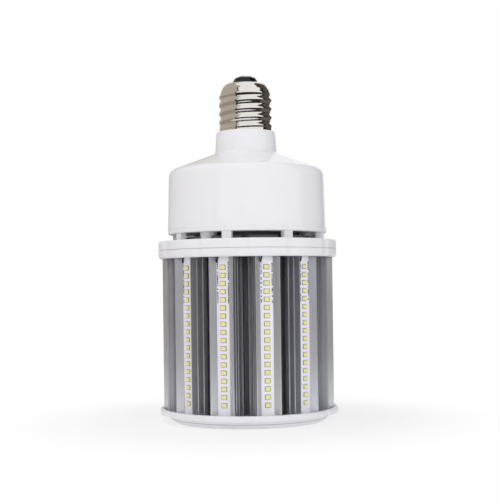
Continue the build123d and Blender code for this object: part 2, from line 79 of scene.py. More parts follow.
# How many finer layers the noise of clouds, grain and drawn lines has
CLOUD_LAYERS, GRAIN_LAYERS, LINE_LAYERS = 4.0, 3.0, 2.0
# Light clouds rise by this share of what dark clouds fall
LIGHT_SHARE = 1 / 3
# A wave texture at scale 1 repeats after this many metres
WAVE_LENGTH = math.pi / 10
# How unevenly a coil's turns lie
TURN_WANDER = 0.2
# Corners of CAD meshes that are closer than this are one corner
WELD_MM = 0.01
# A rounded corner takes at most this share of the edges beside it
CORNER_SHARE = 0.95
# The middle of a cast window sinks by this share of its rim's depth
WINDOW_DIP = 0.6


def end_of(node: str, end: int, axis: int) -> float:
    """Where a CAD node's LOW or HIGH end lies on an axis, in millimetres to the micrometre."""
    return round(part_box(node)[end][axis] / MM, 3)


def linear(code: str) -> tuple[float, float, float, float]:
    """Turn an sRGB hex colour into linear RGBA, by the sRGB curve.

    Args:
        code: six hex digits, such as "E9E9EE".

    Returns:
        The colour as linear red, green, blue and full alpha.
    """
    channels = []
    for start in (0, 2, 4):
        value = int(code[start:start + 2], 16) / 255
        channels.append(value / 12.92 if value <= 0.04045 else ((value + 0.055) / 1.055) ** 2.4)
    return (*channels, 1.0)


def add_node(tree: bpy.types.NodeTree, kind: str, settings: dict | None = None,
             inputs: dict | None = None) -> bpy.types.Node:
    """Add a node, set its properties, and set or link its sockets.

    Args:
        tree: the node tree to draw in.
        kind: the node's type name.
        settings: property names and values.
        inputs: socket names or numbers, each with a value or a socket to link from.

    Returns:
        The new node.
    """
    node = tree.nodes.new(kind)
    for name, value in (settings or {}).items():
        setattr(node, name, value)
    for name, value in (inputs or {}).items():
        if isinstance(value, bpy.types.NodeSocket):
            tree.links.new(value, node.inputs[name])
        else:
            node.inputs[name].default_value = value
    return node


class Slot(Enum):
    """Material slots of the record, which the finishes name."""

    WHITE = "white_plastic"
    HOUSING = "white_housing"
    DARK = "dark_plastic"
    ALUMINIUM = "aluminium"
    CORE = "dark_aluminium"
    BOARD = "board_white"
    LED = "led_body"
    SHELL = "nickel_shell"
    INSULATOR = "black_insulator"
    SOLDER = "solder"
    CIRCUIT = "circuit_board"
    FERRITE = "ferrite"
    WINDING = "winding"
    SLEEVE = "capacitor_sleeve"
    FILM = "film_box"
    COPPER = "copper_wire"
    STEEL = "screw_steel"
    LEAD = "black_lead"


# Finishes


@dataclass(frozen=True)
class Finish:
    """A surface with an even grain, such as spark-eroded mould texture or solder.

    Attributes:
        name: what the material is called, after what it is and how it was made.
        slot: the record's slot that it stands for; not used.
        colour: sRGB hex.
        roughness, metallic, ior: as the shader takes them.
        grain_mm, depth_mm: size of the grain, and how deep it is.
        gloss_spread: how far the grain moves the roughness either way.
        cloud_mm, cloud_depth: size of the pale and dark patches, and how dark they get.
    """

    name: str
    slot: Slot
    colour: str
    roughness: float = 0.4
    metallic: float = 0.0
    ior: float = 1.5
    grain_mm: float = 0.3
    depth_mm: float = 0.01
    gloss_spread: float = 0.04
    cloud_mm: float = 14.0
    cloud_depth: float = 0.03

    def material(self) -> bpy.types.Material:
        """Make the material once and hand back the same one afterwards.

        Returns:
            The material.
        """
        ready = bpy.data.materials.get(self.name)
        if ready:
            return ready
        made = bpy.data.materials.new(self.name)
        made.use_nodes = True
        tree = made.node_tree
        shader = tree.nodes["Principled BSDF"]
        shader.inputs["Metallic"].default_value = self.metallic
        shader.inputs["IOR"].default_value = self.ior
        where = add_node(tree, "ShaderNodeTexCoord").outputs["Object"]
        colour = add_node(tree, "ShaderNodeVectorMath", {"operation": "SCALE"}, {
            0: linear(self.colour)[:3], "Scale": self.tone(tree, where)})
        tree.links.new(colour.outputs["Vector"], shader.inputs["Base Color"])
        self.pattern(tree, shader, where)
        return made

    def tone(self, tree: bpy.types.NodeTree, where: bpy.types.NodeSocket) -> bpy.types.NodeSocket:
        """Let the colour drift a little, as pigment, plating and handling leave it.

        Args:
            tree: the material's node tree.
            where: the socket with the place on the piece.

        Returns:
            The socket with the colour's level, near 1.
        """
        cloud = add_node(tree, "ShaderNodeTexNoise", inputs={
            "Vector": where, "Scale": 1 / (self.cloud_mm * MM), "Detail": CLOUD_LAYERS})
        level = add_node(tree, "ShaderNodeMapRange", inputs={
            "Value": cloud.outputs["Fac"], "From Min": NOISE_LOW, "From Max": NOISE_HIGH,
            "To Min": 1 - self.cloud_depth, "To Max": 1 + self.cloud_depth * LIGHT_SHARE})
        return level.outputs["Result"]

    def pattern(self, tree: bpy.types.NodeTree, shader: bpy.types.Node,
                where: bpy.types.NodeSocket) -> None:
        """Add the grain as relief, and let it vary the gloss.

        Args:
            tree: the material's node tree.
            shader: its principled shader.
            where: the socket with the place on the piece.
        """
        grain = add_node(tree, "ShaderNodeTexNoise", inputs={
            "Vector": where, "Scale": 1 / (self.grain_mm * MM), "Detail": GRAIN_LAYERS})
        self.relief(tree, shader, grain.outputs["Fac"])

    def relief(self, tree: bpy.types.NodeTree, shader: bpy.types.Node,
               height: bpy.types.NodeSocket) -> None:
        """Turn a pattern into bump and into a spread of the gloss.

        Args:
            tree: the material's node tree.
            shader: its principled shader.
            height: the pattern, from 0 to 1.
        """
        bump = add_node(tree, "ShaderNodeBump", inputs={
            "Height": height, "Distance": self.depth_mm * MM, "Strength": 1.0})
        tree.links.new(bump.outputs["Normal"], shader.inputs["Normal"])
        gloss = add_node(tree, "ShaderNodeMapRange", inputs={
            "Value": height, "From Min": NOISE_LOW, "From Max": NOISE_HIGH,
            "To Min": self.roughness - self.gloss_spread,
            "To Max": self.roughness + self.gloss_spread})
        tree.links.new(gloss.outputs["Result"], shader.inputs["Roughness"])


@dataclass(frozen=True)
class SeamShadeFinish(Finish):
    """A moulding that meets its neighbour at a level joint, with painted shade along the joint.

    Attributes:
        seam_mm: height of the joint.
        seam_half_mm: how far the painted shade darkens the colour either way.
        seam_shade_level: what is left of the colour in the joint.
    """

    seam_mm: float = 0.0
    seam_half_mm: float = 0.45
    seam_shade_level: float = 0.45

    def tone(self, tree: bpy.types.NodeTree, where: bpy.types.NodeSocket) -> bpy.types.NodeSocket:
        """Paint shade into the colour towards the joint.

        Args:
            tree: the material's node tree.
            where: the socket with the place on the piece.

        Returns:
            The socket with the colour's level.
        """
        place = add_node(tree, "ShaderNodeSeparateXYZ", inputs={"Vector": where})
        over = add_node(tree, "ShaderNodeMath", {"operation": "SUBTRACT"}, {
            0: place.outputs["Z"], 1: self.seam_mm * MM})
        away = add_node(tree, "ShaderNodeMath", {"operation": "ABSOLUTE"}, {0: over.outputs[0]})
        joint = add_node(tree, "ShaderNodeMapRange", inputs={
            "Value": away.outputs[0], "From Max": self.seam_half_mm * MM,
            "To Min": self.seam_shade_level})
        both = add_node(tree, "ShaderNodeMath", {"operation": "MULTIPLY"}, {
            0: joint.outputs["Result"], 1: super().tone(tree, where)})
        return both.outputs[0]


@dataclass(frozen=True)
class DrawnFinish(Finish):
    """A surface drawn or extruded upwards, with fine lines that run along it.

    Attributes:
        along: scale of the grain on each axis; a small one stretches it.
    """

    along: tuple[float, float, float] = (1.0, 1.0, 0.004)

    def pattern(self, tree: bpy.types.NodeTree, shader: bpy.types.Node,
                where: bpy.types.NodeSocket) -> None:
        """Stretch the grain into lines.

        Args:
            tree: the material's node tree.
            shader: its principled shader.
            where: the socket with the place on the piece.
        """
        stretched = add_node(tree, "ShaderNodeMapping", inputs={
            "Vector": where, "Scale": self.along})
        lines = add_node(tree, "ShaderNodeTexNoise", inputs={
            "Vector": stretched.outputs["Vector"], "Scale": 1 / (self.grain_mm * MM),
            "Detail": LINE_LAYERS})
        self.relief(tree, shader, lines.outputs["Fac"])


@dataclass(frozen=True)
class WoundFinish(Finish):
    """Tape or wire wound in level turns, one above the other.

    Attributes:
        turn_mm: height of one turn.
    """

    turn_mm: float = 1.0

    def pattern(self, tree: bpy.types.NodeTree, shader: bpy.types.Node,
                where: bpy.types.NodeSocket) -> None:
        """Repeat a round ridge for each turn.

        Args:
            tree: the material's node tree.
            shader: its principled shader.
            where: the socket with the place on the piece.
        """
        turns = add_node(tree, "ShaderNodeTexWave", {"bands_direction": "Z"}, {
            "Vector": where, "Scale": WAVE_LENGTH / (self.turn_mm * MM),
            "Distortion": TURN_WANDER})
        self.relief(tree, shader, turns.outputs["Fac"])


# Polycarbonate blend from a spark-eroded mould: satin, with soft wide highlights. The joint between
# the two upper rings shows as a thin grey line of painted shade.
WHITE_PAIR = SeamShadeFinish("moulded_white_ring_pair_seam_shade", Slot.WHITE, "EBEBEE", 0.38, ior=1.49,
                          grain_mm=0.35, depth_mm=0.006,
                          seam_mm=end_of("upper_ring", LOW, Z), seam_half_mm=0.3,
                          seam_shade_level=0.7)
# The same plastic at the foot, with a darker line of painted shade where the ring meets the end cover
WHITE_FOOT = SeamShadeFinish("moulded_white_foot_seam_shade", Slot.WHITE, "E9E9EC", 0.38, ior=1.49,
                          grain_mm=0.35, depth_mm=0.006,
                          seam_mm=end_of("bottom_cover", HIGH, Z))
# Polycarbonate blend from a polished mould: a clear, soft sheen on the drum and the
# cone. Its waves are drawn coarser than real ones, so that they show.
WHITE_HOUSING = Finish("moulded_white_housing", Slot.HOUSING, "ECECEF", 0.12, grain_mm=1.6,
                       depth_mm=0.0015, gloss_spread=0.01, cloud_depth=0.012)
# Dark grey moulded plastic, matt. On the vent collar this dark grey is painted shade that keeps the
# vent gap dark; the power transistors have it as their own colour.
DARK_PLASTIC_AND_COLLAR_SHADE = Finish("moulded_dark_plastic_and_collar_shade", Slot.DARK, "5A5B5F", 0.6, grain_mm=0.4)
# Extruded aluminium, not anodised: satin, with die lines along the module that are
# coarser than real ones, so that they show as faint streaks
MODULE_METAL = DrawnFinish("extruded_aluminium_satin", Slot.ALUMINIUM, "D8D9DE", 0.44, 1.0,
                           grain_mm=0.8, depth_mm=0.03, gloss_spread=0.08)
# Aluminium tube, extruded and anodised grey: dull, so that the gaps between modules
# stay dark
CORE_METAL = DrawnFinish("anodised_aluminium_dark", Slot.CORE, "A9AAB0", 0.6, 0.5,
                         grain_mm=0.25, depth_mm=0.005)
# White solder mask, printed and baked: smooth, a pale strip with a low sheen
BOARD_MASK = Finish("solder_mask_white", Slot.BOARD, "F1EFF5", 0.42, grain_mm=0.5,
                    depth_mm=0.003)
# Black ink, screen printed: flat and matt, so that the marks read as dark dashes
BOARD_PRINT = Finish("screen_print_black", Slot.BOARD, "4C4C52", 0.6, grain_mm=0.15,
                     depth_mm=0.004)
# Nylon frame of a package, moulded: smooth cream, a pale rim round the phosphor
LED_FRAME = Finish("led_frame_moulded", Slot.LED, "E6E4CE", 0.35, grain_mm=0.2,
                   depth_mm=0.003)
# Solder and flux at the packages' feet, set dull: a thin dark edge against the mask, partly the pads
# and partly painted shade round each package
SOLDER_PADS_AND_SHADE = Finish("solder_pads_and_painted_shade", Slot.LED, "7E7A6E", 0.5, grain_mm=0.3)
# Silicone with yellow phosphor, cast into the frame: a glossy pale yellow window
LED_PHOSPHOR = Finish("led_phosphor_silicone", Slot.LED, "F0EE90", 0.22, ior=1.41,
                      grain_mm=0.25, depth_mm=0.01)
# Brass sheet, rolled and bright nickel plated: mirror-like and slightly warm. Its waves
# are drawn coarser than real ones, so that the reflections bend a little.
NICKEL = Finish("nickel_plate_rolled", Slot.SHELL, "E6E1DC", 0.09, 1.0, grain_mm=4.0,
                depth_mm=0.01, gloss_spread=0.03, cloud_depth=0.02)
# Glass-like black insulator, glazed: deep black with a sharp highlight. Its index is
# lowered, so that the slope stays black between the highlights.
GLAZE = Finish("insulator_black_glaze", Slot.INSULATOR, "060607", 0.16, ior=1.38,
               grain_mm=2.5, depth_mm=0.02)
# Tin solder, set from the melt on the centre contact: bright and softly uneven
SOLDER = Finish("tin_solder_set", Slot.SOLDER, "DCDCDA", 0.34, 1.0, grain_mm=1.2,
                depth_mm=0.06, gloss_spread=0.1)
# Steel screws, zinc plated and tumbled: grey metal with a soft shine
ZINC = Finish("zinc_plated_steel", Slot.STEEL, "AEB0B4", 0.3, 1.0, grain_mm=0.2)
# Vinyl insulation, drawn over the leads: black with a weak sheen
LEAD_SKIN = Finish("lead_insulation_black", Slot.LEAD, "101012", 0.45, grain_mm=0.4,
                   depth_mm=0.01)
# Green solder mask of the driver board, printed and baked: even green, low sheen
DRIVER_MASK = Finish("solder_mask_green", Slot.CIRCUIT, "1F5A33", 0.35, grain_mm=0.6)
# Ferrite, pressed and sintered: dull and nearly black
FERRITE = Finish("ferrite_sintered", Slot.FERRITE, "2B2B2D", 0.55, grain_mm=0.3)
# Yellow polyester tape, wound round the coil: glossy, with the steps of its turns
TAPE = WoundFinish("polyester_tape_yellow", Slot.WINDING, "D9B12A", 0.25, depth_mm=0.05,
                   turn_mm=5.0)
# Sleeve shrunk on the electrolytic capacitors: nearly black, glossy, softly uneven
SLEEVE = Finish("shrink_sleeve_black", Slot.SLEEVE, "1B1D24", 0.3, grain_mm=3.0,
                depth_mm=0.03)
# Epoxy box of the film capacitors, cast: plain yellow with a soft sheen
FILM_BOX = Finish("film_box_yellow", Slot.FILM, "C9A227", 0.35, grain_mm=0.5)
# Enamelled copper wire, wound on the chokes: copper gloss with a ridge for each turn
COPPER = WoundFinish("enamelled_copper", Slot.COPPER, "B4652F", 0.3, 1.0, depth_mm=0.25,
                     turn_mm=0.9)


# Mesh building


@dataclass
class Sheet:
    """A mesh being drawn: corners, faces, and the finish number of each face."""

    corners: list[tuple[float, float, float]] = field(default_factory=list)
    faces: list[tuple[int, ...]] = field(default_factory=list)
    finishes: list[int] = field(default_factory=list)

    def add(self, corners: list, faces: list, finish: int = 0) -> None:
        """Add corners and faces whose numbers count from the first new corner.

        Args:
            corners: the new points, in metres.
            faces: tuples of point numbers.
            finish: which of the piece's finishes the faces take.
        """
        base = len(self.corners)
        self.corners += [tuple(c) for c in corners]
        self.faces += [tuple(base + i for i in f) for f in faces]
        self.finishes += [finish] * len(faces)

    def lathe(self, outline: list[tuple[float, float]], around: int, finish: int = 0) -> None:
        """Turn an outline of (radius, height) round the lamp's axis.

        Args:
            outline: the points, in millimetres; a radius of 0 closes the end.
            around: how many steps make the full turn.
            finish: which finish the faces take.
        """
        rings, corners = [], []
        for radius, height in outline:
            count = 1 if radius == 0 else around
            rings.append((len(corners), count))
            for i in range(count):
                angle = 2 * math.pi * i / around
                corners.append((radius * MM * math.cos(angle), radius * MM * math.sin(angle),
                                height * MM))
        faces = []
        for (low, low_count), (high, high_count) in zip(rings, rings[1:]):
            for i in range(around):
                j = (i + 1) % around
                a, b = low + i % low_count, low + j % low_count
                c, d = high + j % high_count, high + i % high_count
                face = tuple(dict.fromkeys((a, b, c, d)))
                if len(face) > 2:
                    faces.append(face)
        self.add(corners, faces, finish)

    def tray(self, centre: Vector, across: Vector, up: Vector, out: Vector, sizes: tuple,
             finishes: tuple[int, int]) -> None:
        """Draw a block with a sunk window in its outer face.

        Args:
            centre: middle of the block's foot.
            across, up, out: unit directions.
            sizes: width, height, thickness, rim, sink and corner cut, in millimetres.
            finishes: finish numbers of the body and of the window.
        """
        width, height, thick, rim, sink, cut = (s * MM for s in sizes)
        loops = (
            (width / 2, height / 2, 0.0),
            (width / 2, height / 2, thick - cut),
            (width / 2 - cut, height / 2 - cut, thick),
            (width / 2 - rim, height / 2 - rim, thick),
            (width / 2 - rim - sink, height / 2 - rim - sink, thick - sink),
        )
        corners = []
        for half_w, half_h, lift in loops:
            for side, rise in ((-1, -1), (1, -1), (1, 1), (-1, 1)):
                corners.append(centre + across * side * half_w + up * rise * half_h + out * lift)
        walls = [(4 * k + i, 4 * k + (i + 1) % 4, 4 * k + 4 + (i + 1) % 4, 4 * k + 4 + i)
                 for k in range(len(loops) - 1) for i in range(4)]
        self.add(corners, walls + [(3, 2, 1, 0)], finishes[0])
        middle = centre + out * (thick - sink * WINDOW_DIP)
        self.add(corners[-4:] + [middle], [(i, (i + 1) % 4, 4) for i in range(4)], finishes[1])

    def tube(self, path: list[Vector], radius: float, around: int, finish: int = 0) -> None:
        """Draw a round bar along a path, closed at both ends.

        Args:
            path: its centre line, in metres.
            radius: in metres.
            around: how many sides it has.
            finish: which finish the faces take.
        """
        corners = []
        side = None
        for i, point in enumerate(path):
            along = (path[min(i + 1, len(path) - 1)] - path[max(i - 1, 0)]).normalized()
            side = along.orthogonal() if side is None else side - along * side.dot(along)
            side.normalize()
            other = along.cross(side)
            for k in range(around):
                turn = 2 * math.pi * k / around
                corners.append(point + side * radius * math.cos(turn)
                               + other * radius * math.sin(turn))
        faces = [(i * around + k, i * around + (k + 1) % around,
                  (i + 1) * around + (k + 1) % around, (i + 1) * around + k)
                 for i in range(len(path) - 1) for k in range(around)]
        end = (len(path) - 1) * around
        faces += [tuple(reversed(range(around))), tuple(range(end, end + around))]
        self.add(corners, faces, finish)

    def block(self, low: Vector, across: Vector, up: Vector, out: Vector, finish: int = 0) -> None:
        """Draw a plain block from a corner and three edge vectors.

        Args:
            low: the corner.
            across, up, out: the edges.
            finish: which finish the faces take.
        """
        corners = [low + across * i + up * j + out * k
                   for k in (0, 1) for j in (0, 1) for i in (0, 1)]
        faces = [(0, 2, 3, 1), (4, 5, 7, 6), (0, 1, 5, 4), (2, 6, 7, 3), (0, 4, 6, 2), (1, 3, 7, 5)]
        self.add(corners, faces, finish)

    def piece(self, name: str, finishes: list[Finish], smooth: float = 30.0) -> bpy.types.Object:
        """Make the mesh a piece of the lamp.

        Args:
            name: the piece's name.
            finishes: its finishes, by number.
            smooth: edges flatter than this angle, in degrees, are shaded smooth.

        Returns:
            The new object, riding on the lamp's body.
        """
        mesh = bpy.data.meshes.new(name)
        mesh.from_pydata(self.corners, [], self.faces)
        for finish in finishes:
            mesh.materials.append(finish.material())
        mesh.polygons.foreach_set("material_index", self.finishes)
        mesh.polygons.foreach_set("use_smooth", [True] * len(self.faces))
        mesh.update()
        mesh.set_sharp_from_angle(angle=math.radians(smooth))
        made = bpy.data.objects.new(name, mesh)
        bpy.context.scene.collection.objects.link(made)
        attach(made, BODY)
        LOG.info("piece %s: %d faces", name, len(self.faces))
        return made


def dress(node: str, finish: Finish, edge_mm: float = 0.0, smooth: float = 35.0) -> None:
    """Give a CAD node its finish, its shading and softened edges.

    Args:
        node: the node's name.
        finish: its finish.
        edge_mm: width of the softened edges, 0 for none.
        smooth: edges flatter than this angle, in degrees, are shaded smooth.
    """
    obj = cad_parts[node]
    obj.data.materials.clear()
    obj.data.materials.append(finish.material())
    obj.data.polygons.foreach_set("use_smooth", [True] * len(obj.data.polygons))
    obj.data.set_sharp_from_angle(angle=math.radians(smooth))
    if edge_mm:
        weld = obj.modifiers.new("weld", "WELD")
        weld.merge_threshold = WELD_MM * MM
        bevel = obj.modifiers.new("edges", "BEVEL")
        bevel.width = edge_mm * MM
        bevel.segments = 2
        bevel.limit_method = "ANGLE"
        bevel.angle_limit = math.radians(smooth)
        bevel.harden_normals = True
    LOG.info("dressed %s with %s", node, finish.name)


def rounded(outline: tuple, lift: float = 0.0, steps: int = 8) -> list[tuple[float, float]]:
    """Round the corners of an outline.

    Args:
        outline: (radius, height, corner radius) points in millimetres.
        lift: what is added to each height.
        steps: points on each rounded corner.

    Returns:
        The outline as (radius, height) points.
    """
    done = []
    points = [Vector((radius, lift + height)) for radius, height, _ in outline]
    for i, here in enumerate(points):
        size = outline[i][2]
        if size <= 0 or i in (0, len(points) - 1):
            done.append((outline[i][0], lift + outline[i][1]))
            continue
        back, ahead = points[i - 1] - here, points[i + 1] - here
        half = back.angle(ahead) / 2
        reach = min(size / math.tan(half), back.length * CORNER_SHARE,
                    ahead.length * CORNER_SHARE)
        start, end = here + back.normalized() * reach, here + ahead.normalized() * reach
        for k in range(steps + 1):
            t = k / steps
            point = start * (1 - t) ** 2 + here * 2 * t * (1 - t) + end * t ** 2
            done.append((point.x, point.y))
    return done


# Screw base


@dataclass
class ScrewBase:
    """Threaded shell, insulator and centre contact, in millimetres.

    Heights count from the shell's foot, and those of the insulator and the contact
    from its top.

    Attributes:
        foot, height: where the shell starts, and how tall it is.
        crest, root: radius over the thread's ridges and between them.
        skirt, skirt_top: radius and height of the plain skirt under the thread.
        pitch, crest_at_zero: rise of a turn, and height of the first ridge at angle 0.
        thread_end, run_out: where the thread ends, and over what height it fades out.
        dome: (height, radius) points over the thread.
        mouth, wall, roof: radius of the top's hole, thickness of the side and the top.
        insulator, contact: their outlines, as (radius, height, corner radius).
        around, levels: steps round the shell and up it.
    """

    foot: float = end_of("screw_shell", LOW, Z)
    height: float = end_of("screw_shell", HIGH, Z) - end_of("screw_shell", LOW, Z)
    crest: float = 19.65
    root: float = 18.4
    skirt: float = 19.3
    skirt_top: float = 4.2
    pitch: float = 6.35
    crest_at_zero: float = 4.45
    thread_end: float = 28.8
    run_out: float = 2.9
    dome: tuple = ((28.8, 18.4), (30.8, 17.8), (32.4, 16.95), (34.0, 15.9), (35.1, 14.6),
                   (35.75, 12.9), (36.2, 11.3), (36.5, 10.0))
    mouth: float = 9.4
    wall: float = 0.6
    roof: float = 1.0
    insulator: tuple = ((0, -1.2, 0), (9.4, -1.2, 0), (9.4, 0, 0), (10.0, 0, 0.1),
                        (9.4, 0.8, 0.4), (7.9, 3.2, 0.5), (7.2, 3.7, 0.4), (5.2, 3.7, 0.2),
                        (5.0, 3.3, 0), (0, 3.3, 0))
    contact: tuple = ((0, -2.0, 0), (2.2, -2.0, 0), (2.2, 3.3, 0), (4.9, 3.3, 0),
                      (5.0, 4.7, 0.4), (3.9, 5.15, 0.6), (0, 5.2, 0))
    around: int = 200
    levels: int = 190
    smooth: float = 60.0
    insulator_around: int = 96
    contact_around: int = 64
    contact_smooth: float = 50.0

    def body_radius(self, height: float) -> float:
        """Radius of the shell without its thread.

        Args:
            height: height over the shell's foot.

        Returns:
            The radius.
        """
        if height <= self.skirt_top:
            return self.skirt
        if height <= self.thread_end:
            blend = min(1.0, (height - self.skirt_top) / (self.skirt - self.root))
            return self.skirt + (self.root - self.skirt) * (3 - 2 * blend) * blend ** 2
        for (low, low_r), (high, high_r) in zip(self.dome, self.dome[1:]):
            if height <= high:
                return low_r + (high_r - low_r) * (height - low) / (high - low)
        return self.dome[-1][1]

    def radius(self, angle: float, height: float) -> float:
        """Radius of the shell with its rolled thread.

        Args:
            angle: angle round the axis, in radians.
            height: height over the shell's foot.

        Returns:
            The radius.
        """
        base = self.body_radius(height)
        if height >= self.thread_end:
            return base
        turns = (height - self.crest_at_zero) / self.pitch - angle / (2 * math.pi)
        wave = 0.5 + 0.5 * math.cos(2 * math.pi * turns)
        fade = min(1.0, (self.thread_end - height) / self.run_out)
        return max(base, self.root + (self.crest - self.root) * wave * fade)

    def shell(self) -> None:
        """Build the shell as one skin over the thread and the dome, closed inside."""
        sheet = Sheet()
        heights = [self.height * i / self.levels for i in range(self.levels + 1)]
        corners = []
        for height in heights:
            for i in range(self.around):
                angle = 2 * math.pi * i / self.around
                radius = self.radius(angle, height) * MM
                corners.append((radius * math.cos(angle), radius * math.sin(angle),
                                (self.foot + height) * MM))
        faces = [(k * self.around + i, k * self.around + (i + 1) % self.around,
                  (k + 1) * self.around + (i + 1) % self.around, (k + 1) * self.around + i)
                 for k in range(self.levels) for i in range(self.around)]
        sheet.add(corners, faces)
        top, bore = self.foot + self.height, self.root - self.wall
        inner = [(self.dome[-1][1], top), (self.mouth, top), (self.mouth, top - self.roof),
                 (bore, self.foot + self.thread_end), (bore, self.foot), (self.skirt, self.foot)]
        sheet.lathe(inner, self.around)
        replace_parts(sheet.piece("screw_shell_skin", [NICKEL], self.smooth), "screw_shell")

    def tip(self) -> None:
        """Build the insulator and the soldered contact on it."""
        top = self.foot + self.height
        sheet = Sheet()
        sheet.lathe(rounded(self.insulator, top), self.insulator_around)
        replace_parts(sheet.piece("base_insulator_skin", [GLAZE]), "base_insulator")
        sheet = Sheet()
        sheet.lathe(rounded(self.contact, top), self.contact_around)
        made = sheet.piece("centre_contact_skin", [SOLDER], self.contact_smooth)
        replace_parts(made, "centre_contact")

    def build(self) -> None:
        """Build every piece of the screw base."""
        self.shell()
        self.tip()


# Housing


@dataclass
class Housing:
    """The driver housing as a finely turned skin, in millimetres.

    Heights count from its foot.

    Attributes:
        foot, height: where it starts, and how tall it is.
        foot_r, shoulder_r, cone_r, neck_r, mouth_r: outer radii from the foot upwards.
        shoulder, cone: heights of the cone's lower and upper corner.
        wall, roof_drop: how far the inside lies in from the sides and below the cone.
    """

    foot: float = end_of("driver_housing", LOW, Z)
    height: float = end_of("driver_housing", HIGH, Z) - end_of("driver_housing", LOW, Z)
    foot_r: float = end_of("driver_housing", HIGH, X)
    shoulder_r: float = 57.1
    shoulder: float = 43.3
    cone_r: float = 22.9
    cone: float = 56.1
    neck_r: float = 21.7
    mouth_r: float = 15.4
    wall: float = 2.4
    roof_drop: float = 1.7
    foot_round: float = 0.35
    shoulder_round: float = 7.0
    cone_round: float = 2.6
    cone_inner_round: float = 4.0
    neck_round: float = 0.9
    mouth_round: float = 0.2
    around: int = 256
    outer_steps: int = 12
    smooth: float = 40.0
    base_edge: float = 0.15

    def build(self) -> None:
        """Build the skin from its outer and its inner outline."""
        wall, drop, under = self.wall, self.roof_drop, self.height - self.wall
        outer = ((self.foot_r - wall, 0, 0), (self.foot_r, 0, self.foot_round),
                 (self.shoulder_r, self.shoulder, self.shoulder_round),
                 (self.cone_r, self.cone, self.cone_round),
                 (self.neck_r, self.height, self.neck_round),
                 (self.mouth_r, self.height, self.mouth_round), (self.mouth_r, under, 0))
        inner = ((self.mouth_r, under, 0), (self.neck_r - wall, under, 0),
                 (self.cone_r - wall, self.cone - drop, self.cone_inner_round),
                 (self.shoulder_r - wall, self.shoulder - drop, self.shoulder_round - wall),
                 (self.foot_r - wall, 0, 0))
        outside = rounded(outer, self.foot, self.outer_steps)
        inside = rounded(inner, self.foot)
        sheet = Sheet()
        sheet.lathe(outside + inside[1:], self.around)
        made = sheet.piece("driver_housing_skin", [WHITE_HOUSING], self.smooth)
        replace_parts(made, "driver_housing")
        dress("housing_base", WHITE_PAIR, self.base_edge)


# Light modules


